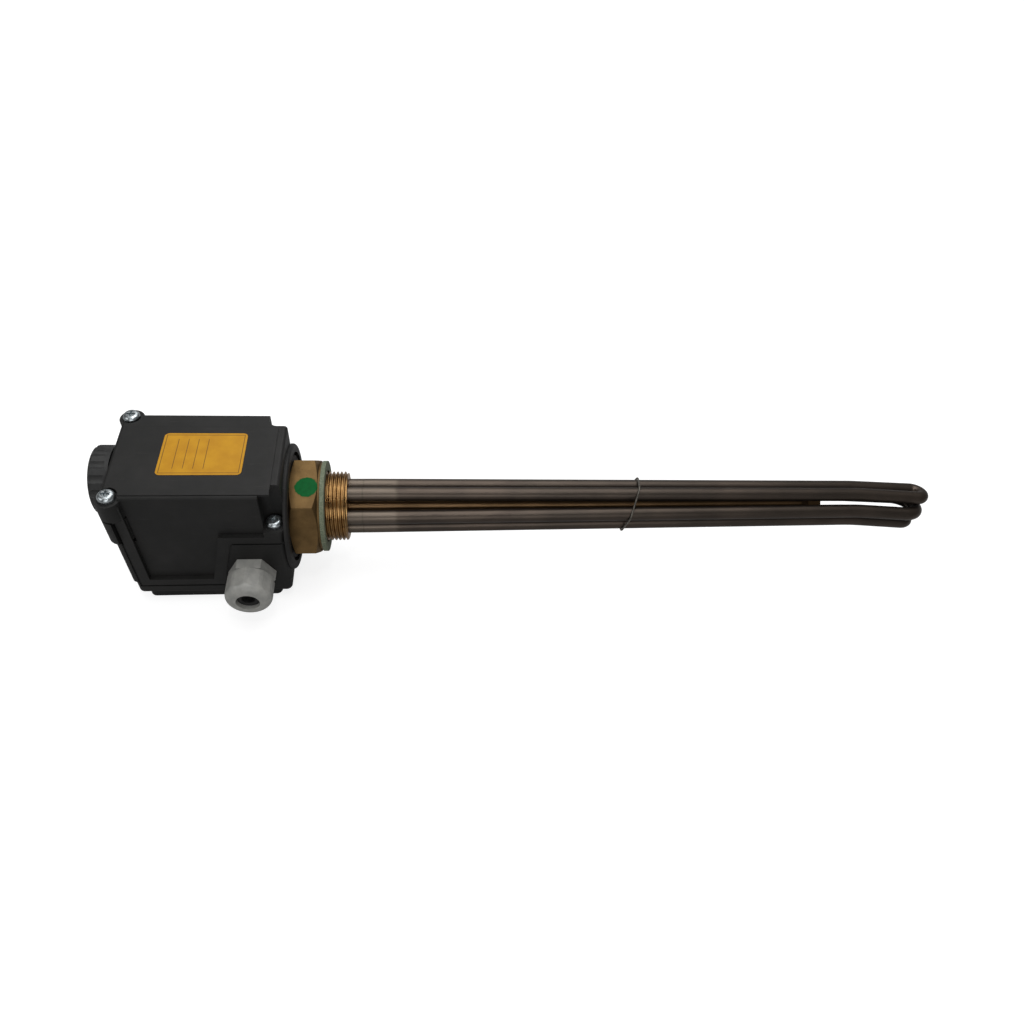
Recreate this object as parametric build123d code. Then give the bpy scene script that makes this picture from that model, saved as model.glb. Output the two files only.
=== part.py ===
from build123d import *
import math
import os

# Screw-in immersion heater with a thermostat, in millimetres.
# +X runs along the heater towards the tube ends, +Z towards the cover's flat top.
# The origin is the centre of the sealing face, where the brass hexagon meets the tank gasket.

# Brass screw head
thread_diameter = 41.91
thread_length = 15.0
thread_chamfer = 0.9
hex_across_flats = 55.0
hex_turn = 13.0
hex_front = 1.3
washer_face_diameter = 53.0
spigot_diameter = 36.0
spigot_length = 8.0
tank_gasket_ring = 6.5
tank_gasket_play = 0.95
tank_gasket_thickness = 2.5

# Heating tubes
tube_diameter = 8.5
tube_circle_radius = 12.25
tube_near_offset = 7.0
tip_circle_radius = 10.2
tip_near_offset = 5.3
straight_end = 30.0
taper_end = 338.0
tip_upper = 388.0
tip_middle = 385.6
tip_lower = 381.8
tip_droop = 2.4
loop_bulge = 1.4
tube_easing = 150.0
tube_rear_length = 4.0
braze_gap = 0.05
view_lift = 49.3

# Sensor pocket and what it holds
pocket_diameter = 10.5
pocket_wall = 0.75
pocket_taper_start = 302.0
pocket_pinch_start = 309.0
pocket_end = 317.0
pocket_pinch_thickness = 2.0
pocket_pinch_width = 10.6
pocket_rear_length = 6.0
bulb_start = 150.0
thermostat_bulb_diameter = 4.6
thermostat_bulb_length = 120.0
limiter_bulb_diameter = 3.4
limiter_bulb_length = 95.0
capillary_diameter = 1.4
capillary_straight = 18.0
capillary_rise = 14.0
capillary_entry = 8.0
capillary_bend = 6.0
capillary_entry_bend = 4.0
thermostat_port_side = 4.0
thermostat_port_lift = 11.0
limiter_port_height = 13.0

# Binding wire
binding_x = 190.0
binding_diameter = 1.2
binding_slant = 11.0
binding_gap = 0.3

# Housing
housing_left = -111.8
housing_right = -18.8
housing_top = 44.8
housing_body_bottom = -38.0
housing_foot_bottom = -48.0
base_half_depth = 35.5
rim_proud = 2.7
wall = 3.0
corner_radius = 3.5
top_edge_radius = 2.0
foot_left_inset = 5.0
foot_right_inset = 9.0
foot_side_inset = 4.0
lower_step_height = 11.0
lower_step_inset = 1.4
collar_overhang = 2.5
collar_height = 2.4
collar_rim = 5.0
seal_thickness = 1.2
seal_inset = 0.9
band_width = 6.0
end_wall_lap = 4.5
lip_thickness = 1.4
lip_clearance = 0.3
parting_shoulder_z = 30.0
parting_floor_z = -31.0
block_low_length = 39.7
block_high_length = 30.2
block_top_z = 8.0
panel_step = 0.5
panel_left_inset = 4.3
panel_right_inset = 4.6
panel_rear_inset = 14.0
notch_length = 10.8
notch_depth = 12.3
notch_floor_z = 18.0
notch_radius = 5.0

# Cover screws, ISO 7045 M5 with pan heads
screw_diameter = 5.0
screw_head_diameter = 9.5
screw_head_height = 3.7
screw_length = 20.0
left_screw_end_inset = 4.4
left_screw_side_inset = 4.7
right_screw_end_inset = 5.3
right_screw_side_inset = 7.1
post_radius = 7.0
post_seat_drop = 1.8
post_bottom_z = 9.0
screw_boss_diameter = 11.0
screw_hole_extra = 4.0
screw_grip_gap = 0.05

# Thermostat, knob and limiter
knob_diameter = 40.0
knob_height = 11.0
knob_flutes = 15
knob_flute_depth = 1.1
knob_flute_radius = 3.2
knob_z = 24.0
knob_gap = 0.6
knob_bore_depth = 8.0
spindle_diameter = 6.0
spindle_clearance = 0.06
spindle_depth = 14.0
wall_bore_diameter = 8.4
thermostat_length = 27.0
thermostat_width = 40.0
thermostat_height = 31.0
thermostat_screw_spacing = 28.0
device_screw_diameter = 4.0
device_screw_head_diameter = 6.8
device_screw_head_height = 2.2
limiter_length = 24.0
limiter_width = 30.0
limiter_height = 20.0
limiter_x = -74.0
limiter_back_gap = 1.0
button_diameter = 5.0
button_travel = 1.8
button_height = 3.2
button_clearance = 0.06

# Mounting plate and what it carries
plate_thickness = 1.5
plate_boss_gap = 0.6
plate_height = 54.0
plate_tongue_gap = 1.2
plate_tongue_start = 5.0
plate_shelf_z = -24.0
plate_shelf_length = 60.0
plate_shelf_front = -15.0
plate_shelf_gap = 0.3
head_screw_circle = 43.0
head_screw_length = 16.0
gasket_thickness = 1.5

# Cold ends
bush_diameter = 7.2
bush_length = 6.0
pin_diameter = 3.5
pin_length = 21.0
nut_across_flats = 7.0
nut_thickness = 3.2
link_thickness = 1.2
link_width = 7.4

# Terminal block
block_length = 20.0
block_width = 36.0
block_height = 15.0
block_x = -97.0
block_poles = 3

# Cable gland, M20
gland_end_inset = 22.2
gland_z = -18.0
gland_thread_diameter = 20.0
gland_hex_across_flats = 24.0
gland_hex_length = 6.5
gland_nut_diameter = 27.0
gland_nut_length = 15.4
gland_nut_gap = 0.4
gland_flats = 10
gland_inner_length = 10.0
gland_opening_diameter = 13.6
gland_seal_wall = 2.6
gland_dome_radius = 5.0
locknut_across_flats = 26.0
locknut_thickness = 4.5

# Leads inside the housing
lead_diameter = 2.4
lead_bend = 3.0
lead_wide_bend = 5.0
lead_clearance = 0.05
lead_side_gap = 4.5
lead_step = 5.0
lead_drop = 9.0
lead_riser_reach = 12.0
lead_riser_drop = 14.0
tab_length = 8.0
tab_width = 6.3
tab_thickness = 0.8
tab_pitch = 10.0
sleeve_length = 9.5
sleeve_wall = 0.75
sleeve_overlap = 6.0
crimp_diameter = 5.0
crimp_length = 12.0
crimp_overlap = 6.0
lead_overlap = 2.6
limiter_tab_inset = 6.0
limiter_tab_side = 8.0
block_bore_height = 5.0

# Values worked out from the sizes above
tank_gasket_diameter = thread_diameter + 2 * tank_gasket_ring
cover_half_depth = base_half_depth - rim_proud
collar_diameter = 2 * (base_half_depth + collar_overhang)
collar_recess_diameter = collar_diameter - 2 * collar_rim
parting_left_x = housing_left + end_wall_lap
block_low_x = housing_right - block_low_length
block_high_x = housing_right - block_high_length
panel_left = housing_left + panel_left_inset
panel_right = housing_right - panel_right_inset
panel_rear = base_half_depth - panel_rear_inset
notch_left = housing_right - notch_length
notch_inner_y = base_half_depth - notch_depth
left_screw_x = housing_left + left_screw_end_inset
left_screw_y = base_half_depth - left_screw_side_inset
right_screw_x = housing_right - right_screw_end_inset
right_screw_y = base_half_depth - right_screw_side_inset
gland_x = housing_right - gland_end_inset
plate_width = 2 * (right_screw_y - screw_boss_diameter / 2 - plate_boss_gap)
plate_tongue_width = 2 * (notch_inner_y - wall - plate_tongue_gap)
plate_shelf_back = plate_width / 2 - plate_shelf_gap
limiter_y = plate_shelf_back - limiter_width / 2 - limiter_back_gap
beyond = 2 * base_half_depth
hex_rear = housing_right + gasket_thickness
recess_floor = housing_right
wall_inner_right = recess_floor - wall
collar_front = housing_right + collar_height
cavity_left = housing_left + wall
cavity_top = housing_top - wall
cavity_half_depth = cover_half_depth - wall
floor_top = housing_body_bottom + wall
tube_rear = hex_rear - spigot_length - tube_rear_length
tube_radius = tube_diameter / 2
pocket_rear = hex_rear - spigot_length - pocket_rear_length
plate_front = wall_inner_right
plate_rear = plate_front - plate_thickness
seal_half = seal_thickness / 2
post_seat_z = housing_top - post_seat_drop
front_sides = (-1, 1)


def box(x0, x1, y0, y1, z0, z1):
    """A box between two corners."""
    return Pos((x0 + x1) / 2, (y0 + y1) / 2, (z0 + z1) / 2) * Box(x1 - x0, y1 - y0, z1 - z0)


def rod_x(diameter, x0, x1, y=0.0, z=0.0):
    """A round bar along X."""
    bar = Cylinder(diameter / 2, x1 - x0, align=(Align.CENTER, Align.CENTER, Align.MIN))
    return Pos(x0, y, z) * Rot(0, 90, 0) * bar


def rod_y(diameter, y0, y1, x, z):
    """A round bar along Y."""
    bar = Cylinder(diameter / 2, y1 - y0, align=(Align.CENTER, Align.CENTER, Align.MIN))
    return Pos(x, y0, z) * Rot(-90, 0, 0) * bar


def rod_z(diameter, z0, z1, x, y):
    """A round bar along Z."""
    bar = Cylinder(diameter / 2, z1 - z0, align=(Align.CENTER, Align.CENTER, Align.MIN))
    return Pos(x, y, z0) * bar


def hex_x(across_flats, x0, x1, y=0.0, z=0.0, turn=0.0):
    """A hexagonal bar along X, with a corner at the given turn from +Y."""
    outline = RegularPolygon(across_flats / 2, 6, major_radius=False)
    bar = extrude(Plane.YZ * Rot(0, 0, turn) * outline, amount=x1 - x0)
    return Pos(x0, y, z) * bar


def side_profile(points, y0, y1):
    """A shape drawn in the XZ plane and drawn out along Y from y0 to y1."""
    outline = make_face(Polyline([(x, 0, z) for x, z in points], close=True))
    return Pos(0, y0, 0) * extrude(outline, amount=y1 - y0, dir=(0, 1, 0))


def round_tube(points, radii, diameter):
    """A round bar swept along straight runs joined by tangent arcs."""
    path = FilletPolyline(*points, radius=radii)
    section = Plane(origin=path @ 0, z_dir=path % 0) * Circle(diameter / 2)
    return sweep(section, path=path)


def largest(shape):
    """The largest solid of a cut shape, where slivers may be left over."""
    return max(shape.solids(), key=lambda solid: solid.volume)


def bundle_point(x, lift, near):
    """A point beside the heater's axis: lift is across the line of sight, near is along it."""
    turn = math.radians(view_lift)
    y = lift * math.sin(turn) - near * math.cos(turn)
    z = lift * math.cos(turn) + near * math.sin(turn)
    return (x, y, z)


def leg_offsets(radius, near_offset):
    """Lift and nearness of the six legs, named by the hairpins that they belong to."""
    depth = math.sqrt(radius**2 - near_offset**2)
    return {
        "upper": ((radius, 0), (near_offset, depth)),
        "middle": ((near_offset, -depth), (-near_offset, depth)),
        "lower": ((-near_offset, -depth), (-radius, 0)),
    }


head_legs = leg_offsets(tube_circle_radius, tube_near_offset)
tip_legs = leg_offsets(tip_circle_radius, tip_near_offset)
leg_places = [bundle_point(0, *leg) for pair in head_legs.values() for leg in pair]
parts = {}

# Screw head: hexagon, washer face, thread, spigot, and three tapped holes in its rear
hex_length = -hex_front - hex_rear
head = hex_x(hex_across_flats, hex_rear, -hex_front, turn=hex_turn)
for face_x, direction in ((hex_rear, 1), (-hex_front, -1)):
    blank = Cone(
        hex_across_flats / 2 - 0.3,
        hex_across_flats / 2 - 0.3 + hex_length * 1.9,
        hex_length,
        align=(Align.CENTER, Align.CENTER, Align.MIN),
    )
    head &= Pos(face_x, 0, 0) * Rot(0, 90 * direction, 0) * blank
head += rod_x(washer_face_diameter, -hex_front, 0)
head += rod_x(thread_diameter, 0, thread_length)
head = chamfer(head.edges().filter_by(GeomType.CIRCLE).sort_by(Axis.X)[-1], thread_chamfer)
head += rod_x(spigot_diameter, hex_rear - spigot_length, hex_rear)
for _, leg_y, leg_z in leg_places:
    head -= rod_x(tube_diameter + 2 * braze_gap, hex_rear - spigot_length - 1, thread_length + 1, leg_y, leg_z)
head -= rod_x(pocket_diameter + 2 * braze_gap, hex_rear - spigot_length - 1, thread_length + 1)
head_screw_places = []
for index in range(3):
    angle = math.radians(90 + 120 * index)
    head_screw_places.append((head_screw_circle / 2 * math.cos(angle), head_screw_circle / 2 * math.sin(angle)))
tapped_depth = head_screw_length - plate_thickness - wall - gasket_thickness + 2
for hole_y, hole_z in head_screw_places:
    head -= rod_x(device_screw_diameter, hex_rear - 1, hex_rear + tapped_depth, hole_y, hole_z)
parts["screw_head"] = head

# Flat gasket between the sealing face and the tank
gasket = rod_x(tank_gasket_diameter, 0, tank_gasket_thickness)
gasket -= rod_x(thread_diameter + 2 * tank_gasket_play, -1, tank_gasket_thickness + 1)
parts["tank_gasket"] = gasket

# Hairpins: two legs that draw together, then a tight bend
tips = {"upper": tip_upper, "middle": tip_middle, "lower": tip_lower}
for name, pair in head_legs.items():
    (lift_a, near_a), (lift_b, near_b) = pair
    (tip_lift_a, tip_near_a), (tip_lift_b, tip_near_b) = tip_legs[name]
    spread = math.dist(tip_legs[name][0], tip_legs[name][1])
    grow = 1 + loop_bulge / spread
    middle_lift = (tip_lift_a + tip_lift_b) / 2
    middle_near = (tip_near_a + tip_near_b) / 2
    loop_a = (middle_lift + (tip_lift_a - middle_lift) * grow, middle_near + (tip_near_a - middle_near) * grow)
    loop_b = (middle_lift + (tip_lift_b - middle_lift) * grow, middle_near + (tip_near_b - middle_near) * grow)
    loop_x = tips[name] - tube_radius
    points = [
        bundle_point(tube_rear, lift_a, near_a),
        bundle_point(straight_end, lift_a, near_a),
        bundle_point(taper_end, tip_lift_a, tip_near_a),
        bundle_point(loop_x, loop_a[0] - tip_droop, loop_a[1]),
        bundle_point(loop_x, loop_b[0] - tip_droop, loop_b[1]),
        bundle_point(taper_end, tip_lift_b, tip_near_b),
        bundle_point(straight_end, lift_b, near_b),
        bundle_point(tube_rear, lift_b, near_b),
    ]
    bend = (spread + loop_bulge) / 2 * 0.93
    parts["hairpin_" + name] = round_tube(points, [tube_easing, tube_easing, bend, bend, tube_easing, tube_easing], tube_diameter)

# Sensor pocket: a tube with its end pressed flat
pocket = rod_x(pocket_diameter, pocket_rear, pocket_taper_start)
pocket_round = Plane.YZ.offset(pocket_taper_start) * Circle(pocket_diameter / 2)
pinch_turn = Rot(0, 0, 90 - view_lift)
pinch_outline = pinch_turn * RectangleRounded(pocket_pinch_width, pocket_pinch_thickness, pocket_pinch_thickness * 0.49)
pocket_flat = Plane.YZ.offset(pocket_pinch_start) * pinch_outline
pocket += loft([pocket_round, pocket_flat])
pocket += extrude(pocket_flat, amount=pocket_end - pocket_pinch_start)
pocket -= rod_x(pocket_diameter - 2 * pocket_wall, pocket_rear - 1, pocket_taper_start - 4)
parts["sensor_pocket"] = pocket

# Binding wire: one turn round the bundle, slanted along it
wire_radius = binding_diameter / 2
share = (binding_x - straight_end) / (taper_end - straight_end)
wire_circle = tube_circle_radius + (tip_circle_radius - tube_circle_radius) * share
wire_near = tube_near_offset + (tip_near_offset - tube_near_offset) * share
wire_legs = leg_offsets(wire_circle, wire_near)
wire_places = sorted((place for pair in wire_legs.values() for place in pair), key=lambda p: math.atan2(p[1], p[0]))
corner_circle = []
for lift, near in wire_places:
    reach = math.hypot(lift, near)
    grow = (reach + (tube_radius + wire_radius + binding_gap) / math.cos(math.radians(30))) / reach
    slant = binding_slant / 2 * lift / wire_circle
    corner_circle.append(bundle_point(binding_x + slant, lift * grow, near * grow))
wire_bend = tube_radius + wire_radius + binding_gap
wire_path = FilletPolyline(*corner_circle, radius=wire_bend, close=True)
wire_section = Plane(origin=wire_path @ 0, z_dir=wire_path % 0) * Circle(wire_radius)
parts["binding_wire"] = sweep(wire_section, path=wire_path)

# Housing outlines shared by the base and the cover
parting_line = [
    (housing_left - 8, parting_shoulder_z),
    (parting_left_x, parting_shoulder_z),
    (parting_left_x, parting_floor_z),
    (block_low_x, parting_floor_z),
    (block_high_x, block_top_z),
    (housing_right + 8, block_top_z),
]
cover_corners = parting_line + [(housing_right + 8, housing_top + 8), (housing_left - 8, housing_top + 8)]
cover_face = make_face(Polyline(cover_corners, close=True))


def cover_zone(grow, y0, y1):
    """The part of space on the cover's side of the parting line, seen along Y."""
    outline = offset(cover_face, amount=grow, kind=Kind.INTERSECTION)
    return Pos(0, y1, 0) * Rot(90, 0, 0) * extrude(outline, amount=y1 - y0)


def rounded_block(x0, x1, half_depth, z0, z1, rounding):
    """A block with its four upright edges rounded."""
    return fillet(box(x0, x1, -half_depth, half_depth, z0, z1).edges().filter_by(Axis.Z), rounding)


def corner_posts(radius, z0, z1):
    """The two screw posts at the knob's end."""
    posts = [rod_z(2 * radius, z0, z1, left_screw_x, side * left_screw_y) for side in front_sides]
    return posts[0] + posts[1]


def end_notches(grow):
    """The two open corners over the screws at the head's end."""
    notches = []
    for side in front_sides:
        y0, y1 = sorted((side * (notch_inner_y - grow), side * (base_half_depth + 6)))
        notch = box(notch_left - grow, housing_right + 6, y0, y1, notch_floor_z - grow, housing_top + 6)
        inner = notch.edges().filter_by(Axis.Z).sort_by(Axis.X)[:2].sort_by(Axis.Y)[0 if side > 0 else -1]
        notches.append(fillet(inner, notch_radius + grow))
    return notches[0] + notches[1]


def right_bosses(z0, z1, diameter):
    """Upright round bars on the two screw axes at the head's end."""
    bars = [rod_z(diameter, z0, z1, right_screw_x, side * right_screw_y) for side in front_sides]
    return bars[0] + bars[1]


def left_bars(z0, z1, diameter):
    """Upright round bars on the two screw axes at the knob's end."""
    bars = [rod_z(diameter, z0, z1, left_screw_x, side * left_screw_y) for side in front_sides]
    return bars[0] + bars[1]


def outer_sides(x0, x1, inner_y):
    """Both zones beyond a given depth, on the front and on the rear."""
    depth = base_half_depth + 8
    bottom = housing_foot_bottom - 1
    front = box(x0, x1, -depth, -inner_y, bottom, housing_top + 5)
    return front + box(x0, x1, inner_y, depth, bottom, housing_top + 5)


screw_hole = screw_diameter + 0.5
grip_hole = screw_diameter + 2 * screw_grip_gap
lip_inner_y = base_half_depth - lip_thickness
base_post_top = parting_shoulder_z - seal_half
base_boss_top = block_top_z - seal_half
cavity = box(cavity_left, housing_right - wall, -cavity_half_depth, cavity_half_depth, floor_top, cavity_top)


def collar_tongue(clearance):
    """The wall behind the collar, which stands up between the cover's two notches."""
    disc = rod_x(collar_diameter + 2 * clearance, wall_inner_right - clearance, housing_right)
    disc -= outer_sides(wall_inner_right - 9, housing_right + 9, notch_inner_y - wall - lip_clearance + clearance)
    return disc


# Base: end wall, floor, foot, gland block, and the round collar that carries the head
foot = rounded_block(
    housing_left + foot_left_inset,
    housing_right - foot_right_inset,
    base_half_depth - foot_side_inset,
    housing_foot_bottom,
    housing_body_bottom + 1,
    corner_radius,
)
foot = fillet(foot.faces().sort_by(Axis.Z)[0].edges(), 1.5)
lower = rounded_block(
    housing_left + lower_step_inset,
    housing_right - lower_step_inset,
    base_half_depth,
    housing_body_bottom,
    housing_body_bottom + lower_step_height,
    corner_radius,
)
lower = fillet(lower.faces().sort_by(Axis.Z)[0].edges(), 2.0)
upper = rounded_block(
    housing_left,
    housing_right,
    base_half_depth,
    housing_body_bottom + lower_step_height,
    housing_top,
    corner_radius,
)
base_skin = foot + lower + upper
posts = corner_posts(post_radius, post_bottom_z, base_post_top)
posts = chamfer(posts.edges().filter_by(GeomType.CIRCLE).group_by(Axis.Z)[0], 3.0)
base = base_skin - cavity
foot_room = box(
    housing_left + foot_left_inset + wall,
    housing_right - foot_right_inset - wall,
    -(base_half_depth - foot_side_inset - wall),
    base_half_depth - foot_side_inset - wall,
    housing_foot_bottom + wall,
    floor_top + 1,
)
base -= foot_room
boss_low = notch_floor_z - screw_length - screw_hole_extra
base += right_bosses(boss_low - 2, base_boss_top, screw_boss_diameter) & base_skin
base -= cover_zone(seal_half, -beyond, beyond)
posts -= outer_sides(parting_left_x - seal_half, parting_left_x + 20, lip_inner_y - lip_clearance)
base += posts
base += collar_tongue(0)
collar = rod_x(collar_diameter, housing_right, collar_front)
collar_edge = collar.edges().filter_by(GeomType.CIRCLE).sort_by(Axis.X)[-1]
base += fillet(collar_edge, 1.6)
base -= rod_x(collar_recess_diameter, recess_floor, collar_front + 1)
base -= rod_x(spigot_diameter + 0.6, wall_inner_right - 1, recess_floor + 1)
for hole_y, hole_z in head_screw_places:
    base -= rod_x(device_screw_diameter + 0.4, wall_inner_right - 1, recess_floor + 1, hole_y, hole_z)
base -= left_bars(post_seat_z - screw_length - screw_hole_extra, base_post_top + 1, grip_hole)
base -= right_bosses(boss_low, base_boss_top + 1, grip_hole)
base -= rod_x(wall_bore_diameter, housing_left - 1, cavity_left + 1, 0, knob_z)
for side in front_sides:
    hole_y = side * thermostat_screw_spacing / 2
    base -= rod_x(device_screw_diameter + 0.4, housing_left - 1, cavity_left + 1, hole_y, knob_z)
base -= rod_y(gland_thread_diameter + 0.4, -base_half_depth - 1, -cavity_half_depth + 1, gland_x, gland_z)
block_post_places = [(block_x, side * block_width / 3) for side in front_sides]
for post_x, post_y in block_post_places:
    base += rod_z(8.0, housing_foot_bottom + wall - 0.5, floor_top, post_x, post_y)
    base -= rod_z(2.9, housing_foot_bottom + wall + 2, floor_top + 1, post_x, post_y)
parts["base"] = largest(base)

# Cover: deep lid with a raised rim along the parting line and notched corners
skirt = rounded_block(housing_left, housing_right, cover_half_depth, parting_floor_z - 2, housing_top, corner_radius - 1)
skirt = fillet(skirt.faces().sort_by(Axis.Z)[-1].edges(), top_edge_radius)
rim = rounded_block(housing_left, housing_right, base_half_depth, parting_floor_z - 2, housing_top - 4, corner_radius)
rim_window = [
    (parting_left_x + band_width, housing_top + 5),
    (parting_left_x + band_width, parting_floor_z + band_width),
    (block_low_x - band_width, parting_floor_z + band_width),
    (block_high_x - band_width, block_top_z + band_width),
    (notch_left, block_top_z + band_width),
    (notch_left, housing_top + 5),
]
rim -= side_profile(rim_window, -beyond, beyond)
cover = skirt + rim
cover += corner_posts(post_radius, parting_shoulder_z, post_seat_z)
cover_room = box(cavity_left, housing_right - wall, -cavity_half_depth, cavity_half_depth, -beyond, cavity_top)
cover_room = fillet(cover_room.edges().filter_by(Axis.X), 2.0)
cover_room -= end_notches(wall)
cover_room -= corner_posts(post_radius - 0.5, parting_shoulder_z, housing_top)
cover_room -= right_bosses(block_top_z, notch_floor_z, screw_boss_diameter)
cover -= cover_room
cover -= end_notches(0)
cover &= cover_zone(-seal_half, -beyond, beyond)
post_room = corner_posts(post_radius + lip_clearance, post_bottom_z - lip_clearance, parting_shoulder_z + seal_half)
cover -= post_room - outer_sides(housing_left - 9, housing_right, lip_inner_y)
cover -= collar_tongue(lip_clearance)
cover += box(panel_left, panel_right, -cover_half_depth + top_edge_radius, panel_rear, housing_top - 1, housing_top + panel_step)
cover -= corner_posts(screw_head_diameter / 2 + 1.0, post_seat_z, housing_top + 1)
cover -= left_bars(parting_shoulder_z - 1, housing_top, screw_hole)
cover -= right_bosses(block_top_z - 1, notch_floor_z + 1, screw_hole)
parts["cover"] = largest(cover)

# Seal cord in the joint between the base and the cover
seal = box(
    housing_left + seal_inset,
    housing_right - seal_inset,
    -base_half_depth + seal_inset,
    base_half_depth - seal_inset,
    parting_floor_z - 2,
    parting_shoulder_z + 2,
)
seal_room = box(
    cavity_left - seal_inset,
    housing_right - wall + seal_inset,
    -cavity_half_depth - seal_inset,
    cavity_half_depth + seal_inset,
    parting_floor_z - 3,
    parting_shoulder_z + 3,
)
seal -= seal_room
seal &= cover_zone(seal_half, -beyond, beyond) - cover_zone(-seal_half, -beyond - 1, beyond + 1)
seal -= collar_tongue(lip_clearance)
seal -= corner_posts(post_radius + lip_clearance, post_bottom_z - 1, base_post_top)
seal -= left_bars(parting_shoulder_z - 2, parting_shoulder_z + 2, screw_hole + 0.4)
seal -= right_bosses(block_top_z - 2, block_top_z + 2, screw_hole + 0.4)
parts["cover_seal"] = seal


def pan_screw(diameter, head_diameter, head_height, length):
    """A pan-head screw pointing down, with its head's underside at the origin."""
    head_blank = Cylinder(head_diameter / 2, head_height, align=(Align.CENTER, Align.CENTER, Align.MIN))
    head_blank = fillet(head_blank.edges().group_by(Axis.Z)[-1], head_height * 0.62)
    slot = Pos(0, 0, head_height) * Box(head_diameter * 0.5, head_diameter * 0.13, head_height * 0.9)
    head_blank -= slot
    head_blank -= Rot(0, 0, 90) * slot
    shank = Cylinder(diameter / 2, length, align=(Align.CENTER, Align.CENTER, Align.MAX))
    return head_blank + shank


# Cover screws, which cut their thread in the base's posts and bosses
cover_screw = pan_screw(screw_diameter, screw_head_diameter, screw_head_height, screw_length)
left_spots = [Pos(left_screw_x, side * left_screw_y, post_seat_z) for side in front_sides]
right_spots = [Pos(right_screw_x, side * right_screw_y, notch_floor_z) for side in front_sides]
parts["cover_screws"] = Compound([spot * cover_screw for spot in left_spots + right_spots])

# Gasket behind the hexagon, mounting plate, and the screws that draw them together
ring = rod_x(collar_recess_diameter - 4, recess_floor, hex_rear)
ring -= rod_x(spigot_diameter + 0.6, recess_floor - 1, hex_rear + 1)
for hole_y, hole_z in head_screw_places:
    ring -= rod_x(device_screw_diameter + 0.4, recess_floor - 1, hex_rear + 1, hole_y, hole_z)
parts["housing_gasket"] = ring
plate_half = plate_width / 2
tongue_half = plate_tongue_width / 2
upright = box(plate_rear, plate_front, -plate_half, plate_half, plate_shelf_z, plate_tongue_start)
upright += box(plate_rear, plate_front, -tongue_half, tongue_half, plate_shelf_z, plate_shelf_z + plate_height)
upright = fillet(upright.edges().filter_by(Axis.X).group_by(Axis.Z)[-1], 6)
shelf_end = plate_rear + plate_thickness - plate_shelf_length
shelf_low = plate_shelf_z - plate_thickness
shelf = box(shelf_end, plate_front, plate_shelf_front, plate_shelf_back, shelf_low, plate_shelf_z)
shelf = fillet(shelf.edges().filter_by(Axis.Z).group_by(Axis.X)[0], 4)
plate = upright + shelf
plate -= rod_x(spigot_diameter + 1, plate_rear - 1, plate_front + 1)
for hole_y, hole_z in head_screw_places:
    plate -= rod_x(device_screw_diameter + 0.4, plate_rear - 1, plate_front + 1, hole_y, hole_z)
parts["mounting_plate"] = plate
head_screw = pan_screw(device_screw_diameter - 0.1, device_screw_head_diameter, device_screw_head_height, head_screw_length)
parts["head_screws"] = Compound([Pos(plate_rear, y, z) * Rot(0, -90, 0) * head_screw for y, z in head_screw_places])

# Cold ends: a bush in each tube's mouth, a pin, a nut, and two links
bushes = []
pins = []
nuts = []
pin_rear = tube_rear - pin_length
bush_rear = tube_rear - bush_length
nut_front = bush_rear - link_thickness
for _, leg_y, leg_z in leg_places:
    bush = rod_x(bush_diameter, bush_rear, tube_rear, leg_y, leg_z)
    bush = chamfer(bush.edges().sort_by(Axis.X)[0], 0.8)
    bush -= rod_x(pin_diameter + 0.1, bush_rear - 1, tube_rear + 1, leg_y, leg_z)
    bushes.append(bush)
    pins.append(rod_x(pin_diameter, pin_rear, tube_rear, leg_y, leg_z))
    nut = hex_x(nut_across_flats, nut_front - nut_thickness, nut_front, leg_y, leg_z)
    nut -= rod_x(pin_diameter + 0.1, nut_front - nut_thickness - 1, nut_front + 1, leg_y, leg_z)
    nuts.append(nut)
parts["end_bushes"] = Compound(bushes)
parts["terminal_pins"] = Compound(pins)
parts["terminal_nuts"] = Compound(nuts)


def link_bar(places):
    """A flat strip that joins three neighbouring pins, bent round the bundle."""
    strip = None
    for (y0, z0), (y1, z1) in zip(places, places[1:]):
        length = math.dist((y0, z0), (y1, z1))
        angle = math.degrees(math.atan2(z1 - z0, y1 - y0))
        outline = SlotCenterToCenter(length, link_width)
        middle = Pos(0, (y0 + y1) / 2, (z0 + z1) / 2)
        piece = middle * extrude(Plane.YZ.offset(nut_front) * Rot(0, 0, angle) * outline, amount=link_thickness)
        strip = piece if strip is None else strip + piece
    for y, z in places:
        strip -= rod_x(pin_diameter + 0.3, nut_front - 1, bush_rear + 1, y, z)
    return strip


ring_of_legs = {key: [bundle_point(0, *leg)[1:] for leg in pair] for key, pair in head_legs.items()}
line_places = [ring_of_legs["upper"][0], ring_of_legs["middle"][0], ring_of_legs["lower"][0]]
neutral_places = [ring_of_legs["upper"][1], ring_of_legs["middle"][1], ring_of_legs["lower"][1]]
parts["link_bar_line"] = link_bar(line_places)
parts["link_bar_neutral"] = link_bar(neutral_places)

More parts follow.
